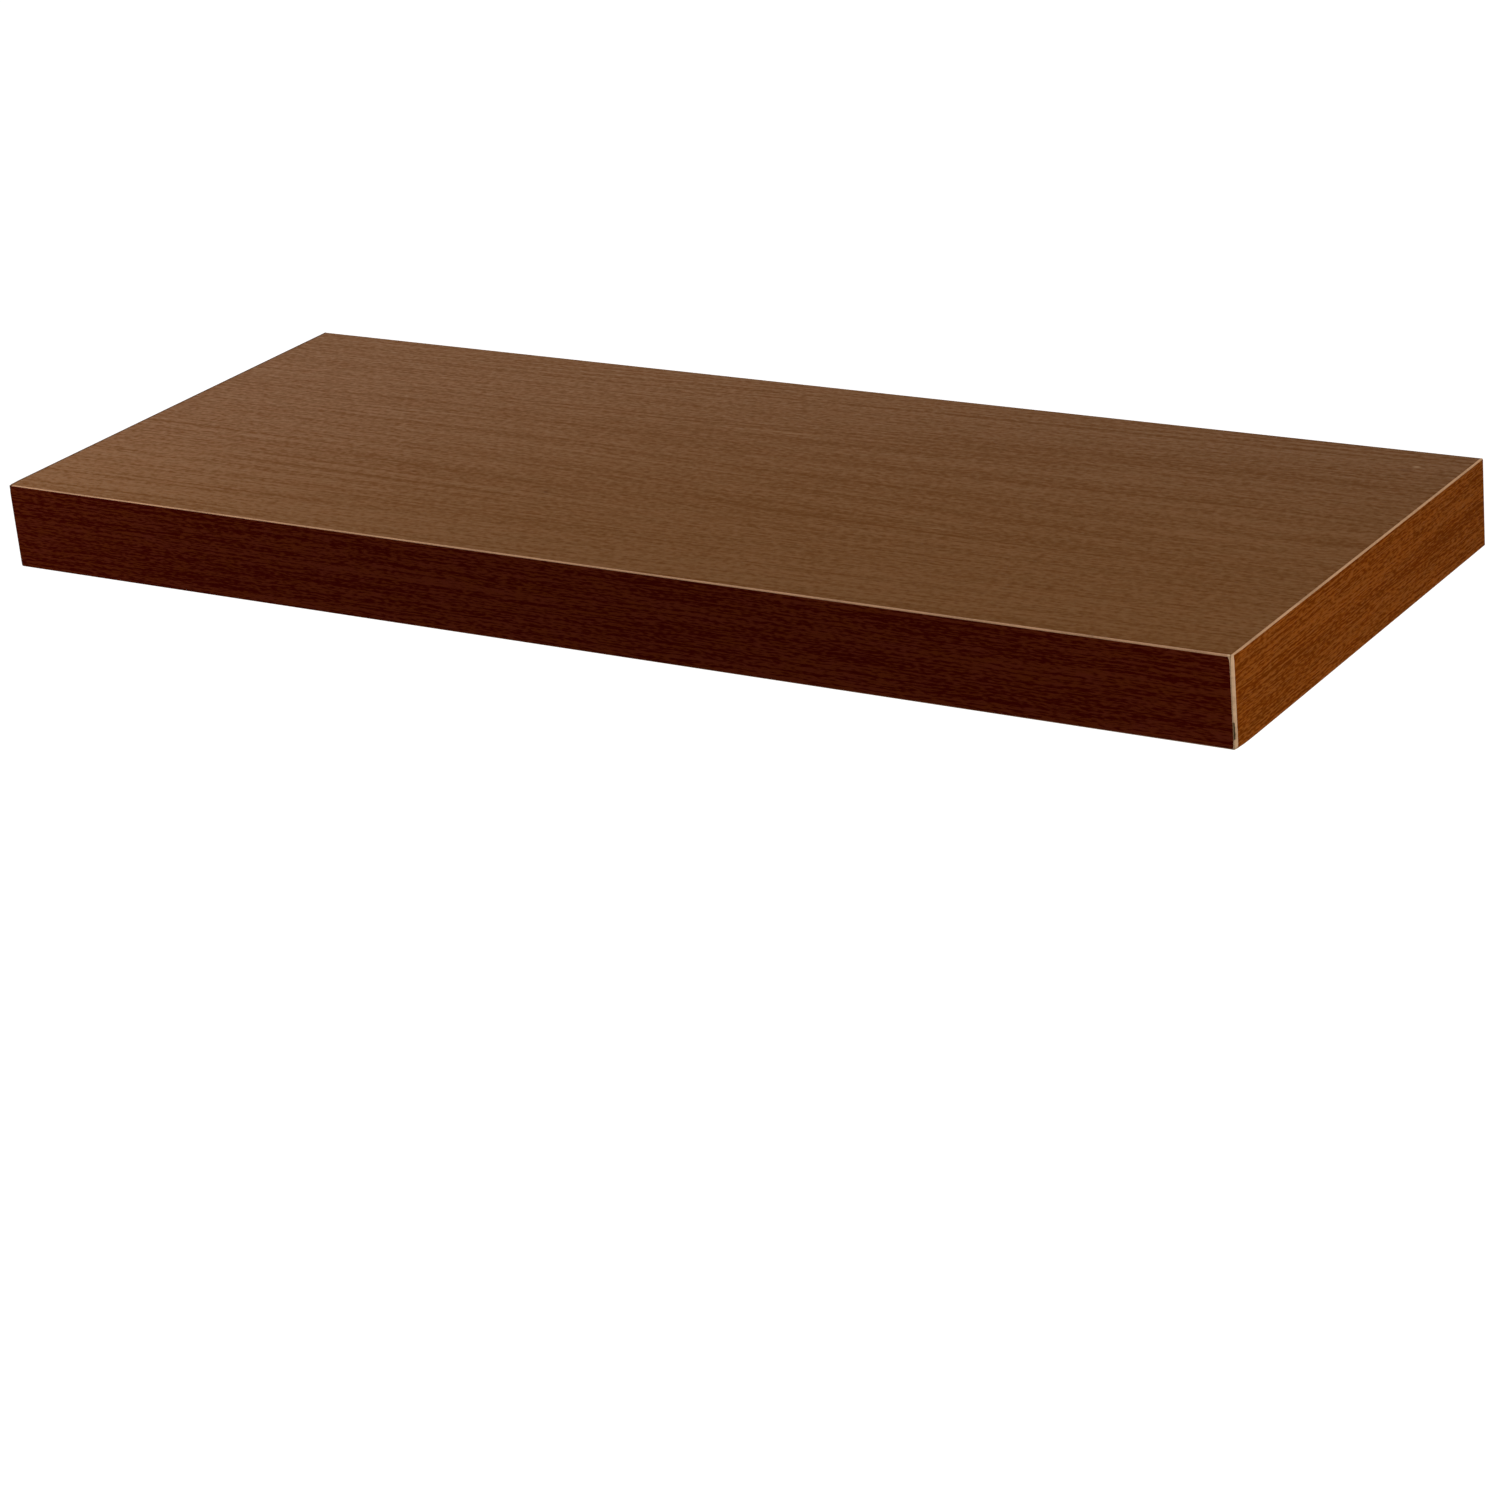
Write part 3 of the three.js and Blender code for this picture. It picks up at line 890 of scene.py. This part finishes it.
def lathe(name, profile, axis_place, materials, segments, hollow=False, radius_at=None, pick=None):
    """A piece turned about an axis along Y. profile gives (y, radius) from one end to the other."""
    points = []
    faces = []
    places = []
    for y, radius in profile:
        for k in range(segments):
            angle = 2 * math.pi * k / segments
            reach = radius_at(y, radius, angle) if radius_at else radius
            x = axis_place.x + reach * math.cos(angle)
            z = axis_place.z + reach * math.sin(angle)
            points.append((x, y, z))
    count = len(profile)
    for i in range(count if hollow else count - 1):
        here, there = i * segments, (i + 1) % count * segments
        for k in range(segments):
            after = (k + 1) % segments
            faces.append((here + k, here + after, there + after, there + k))
            places.append(pick(profile[i][0], profile[(i + 1) % count][0]) if pick else 0)
    if not hollow:
        faces.append(tuple(range(segments)))
        faces.append(tuple(range((count - 1) * segments, count * segments)))
        places += [0, 0]
    return piece(name, points, faces, materials, places)


def applied(made):
    """Turns an object with its modifiers, or a curve, into a plain mesh object."""
    graph = bpy.context.evaluated_depsgraph_get()
    mesh = bpy.data.meshes.new_from_object(made.evaluated_get(graph))
    result = added(made.name + "_applied", mesh)
    name = made.name
    bpy.data.objects.remove(made)
    result.name = name
    return result


def carved(made, cutter):
    """The piece with the cutter's shape taken out."""
    cut = made.modifiers.new("cut", "BOOLEAN")
    cut.operation = "DIFFERENCE"
    cut.solver = "EXACT"
    cut.object = cutter
    result = applied(made)
    bpy.data.objects.remove(cutter)
    result.data.set_sharp_from_angle(angle=smooth_angle)
    return result


def closed_spline(curve, points):
    spline = curve.splines.new("POLY")
    spline.points.add(len(points) - 1)
    for knot, (x, z) in zip(spline.points, points):
        knot.co = (x, z, 0.0, 1.0)
    spline.use_cyclic_u = True


def rounded_loop(centre_x, half_x, half_z, radius):
    """A rectangle with round corners, as a list of (x, z)."""
    loop = []
    for quarter in range(4):
        turn = quarter * math.pi / 2
        side_x = 1 if quarter in (0, 3) else -1
        side_z = 1 if quarter in (0, 1) else -1
        for i in range(rail_corner_steps + 1):
            angle = turn + math.pi / 2 * i / rail_corner_steps
            x = centre_x + side_x * (half_x - radius) + radius * math.cos(angle)
            loop.append((x, side_z * (half_z - radius) + radius * math.sin(angle)))
    return loop


def middle_of(node):
    low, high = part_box(node)
    return (low + high) / 2


def rail_outline(curve, high):
    """The bar's outline and its holes, drawn in by the edge's rounding."""
    inset = rail_edge_round
    closed_spline(curve, rounded_loop(0.0, high.x - inset, high.z - inset, rail_corner - inset))
    for rod_node in ("left_rod", "right_rod"):
        radius = spigot_radius + rail_hole_gap + inset
        closed_spline(curve, rounded_loop(middle_of(rod_node).x, radius, radius, radius))
    for number in screw_numbers:
        radius = rail_screw_hole_radius + inset
        travel = slot_travel / 2 if number in slotted_numbers else 0.0
        middle_x = middle_of(f"wall_screw_{number}").x
        closed_spline(curve, rounded_loop(middle_x, radius + travel, radius, radius))


def rail_plate(material):
    """A flat bar with its corners, edges and holes rounded."""
    low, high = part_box("wall_rail")
    curve = bpy.data.curves.new("rail_plate", "CURVE")
    curve.dimensions = "2D"
    curve.fill_mode = "BOTH"
    rail_outline(curve, high)
    curve.extrude = (high.y - low.y) / 2 - rail_edge_round
    curve.bevel_depth = rail_edge_round
    curve.bevel_resolution = rail_edge_resolution
    plate = applied(added("rail_plate", curve))
    model = bmesh.new()
    model.from_mesh(plate.data)
    bmesh.ops.remove_doubles(model, verts=model.verts, dist=merge_reach)
    stand = Matrix.Translation((0.0, (low.y + high.y) / 2, 0.0)) @ Matrix.Rotation(math.pi / 2, 4, "X")
    bmesh.ops.transform(model, matrix=stand, verts=model.verts)
    bmesh.ops.recalc_face_normals(model, faces=model.faces)
    model.to_mesh(plate.data)
    model.free()
    plate.data.materials.clear()
    plate.data.materials.append(material)
    plate.data.shade_smooth()
    plate.data.set_sharp_from_angle(angle=smooth_angle)
    return plate


def weld_profile(plate_low):
    """The bead's outline from the plate to the rod."""
    profile = []
    for i in range(weld_steps + 1):
        angle = math.pi / 2 * i / weld_steps
        swell = weld_swell_share * weld_leg * math.sin(2 * angle)
        y = plate_low - weld_leg * (1 - math.cos(angle)) - swell
        profile.append((y, rod_radius + weld_leg * (1 - math.sin(angle)) + swell))
    return profile


def rod(name, node, shaft, bead):
    """A support rod with its turned-down end, its weld bead and its eased tip."""
    low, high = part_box(node)
    plate_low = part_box("wall_rail")[0].y
    weld_top = plate_low - weld_leg
    tip_start = low.y + rod_tip_ease
    profile = [(high.y, spigot_radius - spigot_ease), (high.y - spigot_ease, spigot_radius)]
    profile += [(plate_low, spigot_radius), *weld_profile(plate_low), (weld_top - weld_toe, rod_radius)]
    for i in range(1, rod_station_count + 1):
        profile.append((weld_top + (tip_start - weld_top) * i / rod_station_count, rod_radius))
    for u, w in eased_points(rod_tip_steps)[1:]:
        profile.append((low.y + rod_tip_ease * (1 - w), rod_radius - rod_tip_ease * (1 - u)))

    def radius_at(y, plain, angle):
        if not weld_top < y < plate_low:
            return plain
        across = (y - weld_top) / weld_leg
        swayed = angle + weld_sway * math.sin(weld_sway_count * angle)
        phase = weld_ripple_count * swayed + weld_bow * (2 * across - 1) ** 2
        return plain + weld_ripple * (math.sin(phase) - 1) * math.sin(math.pi * across)

    def pick(y0, y1):
        return 1 if weld_top <= (y0 + y1) / 2 < plate_low else 0

    place = middle_of(node)
    return lathe(name, profile, place, [shaft, bead], rod_segments, radius_at=radius_at, pick=pick)


def recess_cutter(place, top):
    """A tapered cross, sunk into a screw's head."""

    def cross(y, share):
        span = recess_half_span * share
        width = recess_half_width * (1 + share) / 2
        corner = [(span, -width), (span, width), (width, width)]
        loop = []
        for quarter in range(4):
            turn = quarter * math.pi / 2
            for a, b in corner:
                x = a * math.cos(turn) - b * math.sin(turn)
                z = a * math.sin(turn) + b * math.cos(turn)
                loop.append((place.x + x, y, place.z + z))
        return loop

    reach = head_height / recess_depth * (1 - recess_floor_share)
    outer = cross(top - head_height, 1 + reach)
    count = len(outer)
    points = outer + cross(top + recess_depth, recess_floor_share)
    faces = [tuple(range(count)), tuple(range(count, 2 * count))]
    faces += [(k, (k + 1) % count, count + (k + 1) % count, count + k) for k in range(count)]
    return piece("recess_cutter", points, faces, [])


def head_profile(seat, head_radius):
    """A pan head's outline, from its crown down to its seat."""
    crown = head_height - head_rim
    profile = []
    for i in range(head_steps + 1):
        angle = math.pi / 2 * (1 - i / head_steps)
        reach = head_crown_radius + (head_radius - head_crown_radius) * math.cos(angle)
        profile.append((seat - head_rim - crown * math.sin(angle), reach))
    return [*profile, (seat - head_seat_ease, head_radius), (seat, head_radius - head_seat_ease)]


def screw(name, node, material):
    """A pan head screw with a cross recess and a turning thread."""
    low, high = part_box(node)
    place = middle_of(node)
    seat = low.y + head_height
    profile = head_profile(seat, high.z - place.z)
    profile += [(seat, thread_outer), (seat + thread_start, thread_outer)]
    shank_length = high.y - seat
    station_count = round((shank_length - thread_start) / thread_pitch * stations_per_pitch)
    step = (shank_length - thread_start) / station_count
    profile += [(seat + thread_start + step * i, thread_outer) for i in range(1, station_count + 1)]

    def radius_at(y, plain, angle):
        along = y - seat
        if along < thread_start:
            return plain
        phase = (along / thread_pitch - angle / (2 * math.pi)) % 1.0
        ridge = max(0.0, 1 - abs(phase - thread_place_share) / thread_half_width_share)
        run_out = min(1.0, (along - thread_start) / thread_pitch)
        core = thread_outer + (thread_core - thread_outer) * run_out
        full = core + (thread_outer - core) * ridge
        left = (shank_length - along) / screw_point
        return full * max(screw_tip_share, min(1.0, left) ** screw_point_power)

    made = lathe(name, profile, place, [material], screw_segments, radius_at=radius_at)
    return carved(made, recess_cutter(place, low.y))


def plug(name, node, material):
    """A split nylon plug with saw-tooth ribs and a whole collar at its mouth."""
    low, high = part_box(node)
    place = middle_of(node)
    outer = high.z - place.z
    root = outer - plug_rib_depth
    profile = [(low.y, plug_bore_radius + plug_mouth_flare), (low.y, outer), (low.y + plug_collar, outer)]
    rib_run = (high.y - low.y - plug_collar) / plug_rib_count
    for i in range(plug_rib_count):
        start = low.y + plug_collar + rib_run * i
        profile.append((start + plug_rib_step_share * rib_run, root))
        profile.append((start + rib_run, outer if i < plug_rib_count - 1 else root))
    profile += [(high.y, plug_bore_radius), (low.y + plug_mouth_depth, plug_bore_radius)]
    made = lathe(name, profile, place, [material], plug_segments, hollow=True)
    slit_low = Vector((place.x - 2 * outer, low.y + plug_collar, place.z - plug_slit / 2))
    slit_high = Vector((place.x + 2 * outer, high.y + plug_collar, place.z + plug_slit / 2))
    slit_round = plug_slit * plug_slit_round_share
    return carved(made, eased_box("slit_cutter", slit_low, slit_high, slit_round, [], lambda normal: 0))


def make_bracket():
    rod_steel = steel("rod_steel")
    bead_steel = steel("bead_steel")
    screw_steel = steel("screw_steel")
    grey_nylon = nylon()
    settle(rail_plate(steel("plate_steel")), "bracket", "bracket_steel", "wall_rail")
    for side in ("left", "right"):
        made = rod("rod_" + side, side + "_rod", rod_steel, bead_steel)
        settle(made, "bracket", "bracket_steel", side + "_rod")
    for number in screw_numbers:
        node = f"wall_screw_{number}"
        settle(screw(f"screw_{number}", node, screw_steel), "bracket", "screw_steel", node)
        node = f"wall_plug_{number}"
        settle(plug(f"plug_{number}", node, grey_nylon), "bracket", "plug_nylon", node)


def place_camera():
    data = bpy.data.cameras.new("camera")
    data.lens = camera_lens_mm
    data.sensor_width = camera_sensor_mm
    camera = added("camera", data)
    camera.matrix_world = (
        Matrix.Translation(camera_place)
        @ Matrix.Rotation(camera_azimuth, 4, "Z")
        @ Matrix.Rotation(math.pi / 2 - camera_elevation, 4, "X")
        @ Matrix.Rotation(camera_roll, 4, "Z")
    )
    bpy.context.scene.camera = camera


def place_lamps():
    for name, lamp in lamps.items():
        data = bpy.data.lights.new(name, "AREA")
        data.shape = "DISK"
        data.size = lamp["size"]
        data.energy = lamp["power"]
        holder = added(name, data)
        place = Vector(lamp["place"])
        turn = (lamp_target - place).to_track_quat("-Z", "Y").to_matrix().to_4x4()
        holder.matrix_world = Matrix.Translation(place) @ turn
        holder.visible_camera = False


def seen_directly(tree):
    """One for what the camera, a reflection or a clear body shows, and nought for the light on surfaces."""
    path = tree.nodes.new("ShaderNodeLightPath")
    total = path.outputs["Is Camera Ray"]
    for kind in ("Is Glossy Ray", "Is Transmission Ray"):
        add = tree.nodes.new("ShaderNodeMath")
        add.use_clamp = True
        tree.links.new(total, add.inputs[0])
        tree.links.new(path.outputs[kind], add.inputs[1])
        total = add.outputs[0]
    return total


def make_surroundings():
    """A white background that lights the object at the fill level only."""
    world = bpy.data.worlds.new("studio")
    bpy.context.scene.world = world
    world.use_nodes = True
    tree = world.node_tree
    fill = tree.nodes["Background"]
    fill.inputs["Color"].default_value = white_light
    fill.inputs["Strength"].default_value = fill_light
    white = tree.nodes.new("ShaderNodeBackground")
    white.inputs["Color"].default_value = white_light
    white.inputs["Strength"].default_value = 1.0
    mix = tree.nodes.new("ShaderNodeMixShader")
    tree.links.new(seen_directly(tree), mix.inputs[0])
    tree.links.new(fill.outputs[0], mix.inputs[1])
    tree.links.new(white.outputs[0], mix.inputs[2])
    tree.links.new(mix.outputs[0], tree.nodes["World Output"].inputs["Surface"])


def make_floor():
    """A pale floor far below, which shows white but keeps a shadow."""
    material = bpy.data.materials.new("floor")
    material.use_nodes = True
    tree = material.node_tree
    surface = tree.nodes["Principled BSDF"]
    surface.inputs["Base Color"].default_value = floor_tone
    surface.inputs["Roughness"].default_value = floor_roughness
    surface.inputs["Emission Color"].default_value = white_light
    strength = tree.nodes.new("ShaderNodeMath")
    strength.operation = "MULTIPLY"
    tree.links.new(seen_directly(tree), strength.inputs[0])
    strength.inputs[1].default_value = floor_shown_light
    tree.links.new(strength.outputs[0], surface.inputs["Emission Strength"])
    r = floor_reach
    corners = [(-r, -r, -floor_drop), (r, -r, -floor_drop), (r, r, -floor_drop), (-r, r, -floor_drop)]
    mesh = bpy.data.meshes.new("floor")
    mesh.from_pydata(corners, [], [(0, 1, 2, 3)])
    mesh.materials.append(material)
    floor = added("floor", mesh)


bpy.context.scene.view_settings.view_transform = "Standard"
place_camera()
place_lamps()
make_surroundings()
make_floor()
make_board()
make_bracket()
